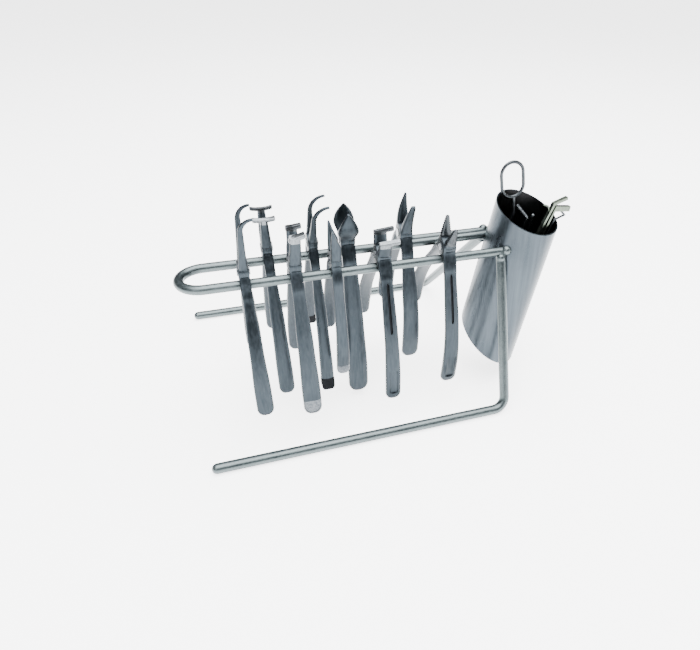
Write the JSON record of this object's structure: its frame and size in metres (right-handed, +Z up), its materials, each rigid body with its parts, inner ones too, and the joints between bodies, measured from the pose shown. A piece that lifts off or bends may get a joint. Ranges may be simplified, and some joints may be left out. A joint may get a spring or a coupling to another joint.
{
  "type": "dental instrument stand",
  "caption": "Bent-rod stand with hinged extraction forceps and pliers hung wide open over parallel rails, and a slanted steel cup of hand instruments.",
  "frame": {"origin": "middle of the object's box on the table surface, with the feet standing at Z = 0", "axes": "+X along the rails from their round closed end towards the cup, +Y from the front rail to the back, +Z up"},
  "size_m": [0.266, 0.1966, 0.1613],
  "materials": {
    "rod_chrome": "polished",
    "weld_metal": "satin",
    "cup_steel": "fine brushed",
    "forceps_steel": "satin",
    "pin_steel": "polished",
    "black_tip": "matte",
    "dark_steel": "satin",
    "tweezers_steel": "satin"
  },
  "bodies": {
    "stand": {"top_rail": "rod_chrome", "front_leg": "rod_chrome", "rear_leg": "rod_chrome", "rail_brace": "rod_chrome", "leg_welds": "weld_metal", "cup_tube": "cup_steel", "cup_floor": "cup_steel", "cup_welds": "weld_metal"},
    "hooked_forceps_front": {"hooked_front_half": "forceps_steel", "hooked_pivot": "pin_steel"},
    "hooked_forceps_rear": {"hooked_rear_half": "forceps_steel"},
    "tee_forceps_front": {"tee_front_half": "forceps_steel", "tee_pivot": "pin_steel"},
    "tee_forceps_rear": {"tee_rear_half": "forceps_steel"},
    "step_forceps_front": {"step_front_half": "forceps_steel", "step_pivot": "pin_steel"},
    "step_forceps_rear": {"step_rear_half": "forceps_steel"},
    "curved_forceps_front": {"curved_front_half": "forceps_steel", "curved_pivot": "pin_steel", "curved_front_tip": "black_tip"},
    "curved_forceps_rear": {"curved_rear_half": "forceps_steel", "curved_rear_tip": "black_tip"},
    "pointed_forceps_front": {"pointed_front_half": "forceps_steel", "pointed_pivot": "pin_steel"},
    "pointed_forceps_rear": {"pointed_rear_half": "forceps_steel"},
    "broad_forceps_front": {"broad_front_half": "forceps_steel", "broad_pivot": "pin_steel"},
    "broad_forceps_rear": {"broad_rear_half": "forceps_steel"},
    "angled_forceps_front": {"angled_front_half": "forceps_steel", "angled_pivot": "pin_steel"},
    "angled_forceps_rear": {"angled_rear_half": "forceps_steel"},
    "flat_forceps_front": {"flat_front_half": "forceps_steel", "flat_pivot": "pin_steel"},
    "flat_forceps_rear": {"flat_rear_half": "forceps_steel"},
    "serrated_forceps_front": {"serrated_front_half": "forceps_steel", "serrated_pivot": "pin_steel"},
    "serrated_forceps_rear": {"serrated_rear_half": "forceps_steel"},
    "ring_instrument": {"ring_handle": "dark_steel", "ring_shank": "dark_steel"},
    "tweezers": {"tweezers_upper_arm": "tweezers_steel", "tweezers_lower_arm": "tweezers_steel"},
    "wire_probe": {"wire_probe": "dark_steel"},
    "burnisher": {"burnisher": "pin_steel"},
    "explorer": {"explorer": "pin_steel"}
  },
  "joints": [
    {"name": "hooked_lift", "type": "slide", "parent": "stand", "child": "hooked_forceps_front", "axis": [0, -0.4067, 0.9135], "range_m": [0, 0.12]},
    {"name": "hooked_hinge", "type": "hinge", "parent": "hooked_forceps_front", "child": "hooked_forceps_rear", "pos_m": [-0.08651, -0.0542, 0.1172], "axis": [-1, 0, 0], "range_deg": [-5, 26]},
    {"name": "tee_lift", "type": "slide", "parent": "stand", "child": "tee_forceps_front", "axis": [0, 0.2079, 0.9781], "range_m": [0, 0.12]},
    {"name": "tee_hinge", "type": "hinge", "parent": "tee_forceps_front", "child": "tee_forceps_rear", "pos_m": [-0.07011, -0.0256, 0.1172], "axis": [-1, 0, 0], "range_deg": [-8, 27.5]},
    {"name": "step_lift", "type": "slide", "parent": "stand", "child": "step_forceps_front", "axis": [0, -0.3827, 0.9239], "range_m": [0, 0.12]},
    {"name": "step_hinge", "type": "hinge", "parent": "step_forceps_front", "child": "step_forceps_rear", "pos_m": [-0.05671, -0.0542, 0.1172], "axis": [-1, 0, 0], "range_deg": [-5, 23.5]},
    {"name": "curved_lift", "type": "slide", "parent": "stand", "child": "curved_forceps_front", "axis": [0, 0.1564, 0.9877], "range_m": [0, 0.12]},
    {"name": "curved_hinge", "type": "hinge", "parent": "curved_forceps_front", "child": "curved_forceps_rear", "pos_m": [-0.04131, -0.0256, 0.1172], "axis": [-1, 0, 0], "range_deg": [-8, 27]},
    {"name": "pointed_lift", "type": "slide", "parent": "stand", "child": "pointed_forceps_front", "axis": [0, -0.4067, 0.9135], "range_m": [0, 0.12]},
    {"name": "pointed_hinge", "type": "hinge", "parent": "pointed_forceps_front", "child": "pointed_forceps_rear", "pos_m": [-0.03211, -0.0542, 0.1172], "axis": [-1, 0, 0], "range_deg": [-5, 24]},
    {"name": "broad_lift", "type": "slide", "parent": "stand", "child": "broad_forceps_front", "axis": [0, 0.1132, 0.9936], "range_m": [0, 0.12]},
    {"name": "broad_hinge", "type": "hinge", "parent": "broad_forceps_front", "child": "broad_forceps_rear", "pos_m": [-0.01851, -0.0256, 0.1172], "axis": [-1, 0, 0], "range_deg": [-8, 30.5]},
    {"name": "angled_lift", "type": "slide", "parent": "stand", "child": "angled_forceps_front", "axis": [0, -0.5948, 0.8039], "range_m": [0, 0.12]},
    {"name": "angled_hinge", "type": "hinge", "parent": "angled_forceps_front", "child": "angled_forceps_rear", "pos_m": [-0.00181, -0.0542, 0.1172], "axis": [-1, 0, 0], "range_deg": [-4, 44.5]},
    {"name": "flat_lift", "type": "slide", "parent": "stand", "child": "flat_forceps_front", "axis": [0, 0.1045, 0.9945], "range_m": [0, 0.12]},
    {"name": "flat_hinge", "type": "hinge", "parent": "flat_forceps_front", "child": "flat_forceps_rear", "pos_m": [0.02149, -0.0256, 0.1172], "axis": [-1, 0, 0], "range_deg": [-8, 35]},
    {"name": "serrated_lift", "type": "slide", "parent": "stand", "child": "serrated_forceps_front", "axis": [0, -0.6334, 0.7738], "range_m": [0, 0.12]},
    {"name": "serrated_hinge", "type": "hinge", "parent": "serrated_forceps_front", "child": "serrated_forceps_rear", "pos_m": [0.04179, -0.0542, 0.1172], "axis": [-1, 0, 0], "range_deg": [-4, 40.5]},
    {"name": "ring_instrument_lift", "type": "slide", "parent": "stand", "child": "ring_instrument", "axis": [0.2079, 0, 0.9781], "range_m": [0, 0.11]},
    {"name": "tweezers_lift", "type": "slide", "parent": "stand", "child": "tweezers", "axis": [0.2079, 0, 0.9781], "range_m": [0, 0.11]},
    {"name": "wire_probe_lift", "type": "slide", "parent": "stand", "child": "wire_probe", "axis": [0.2079, 0, 0.9781], "range_m": [0, 0.11]},
    {"name": "burnisher_lift", "type": "slide", "parent": "stand", "child": "burnisher", "axis": [0.2079, 0, 0.9781], "range_m": [0, 0.11]},
    {"name": "explorer_lift", "type": "slide", "parent": "stand", "child": "explorer", "axis": [0.2079, 0, 0.9781], "range_m": [0, 0.11]}
  ]
}
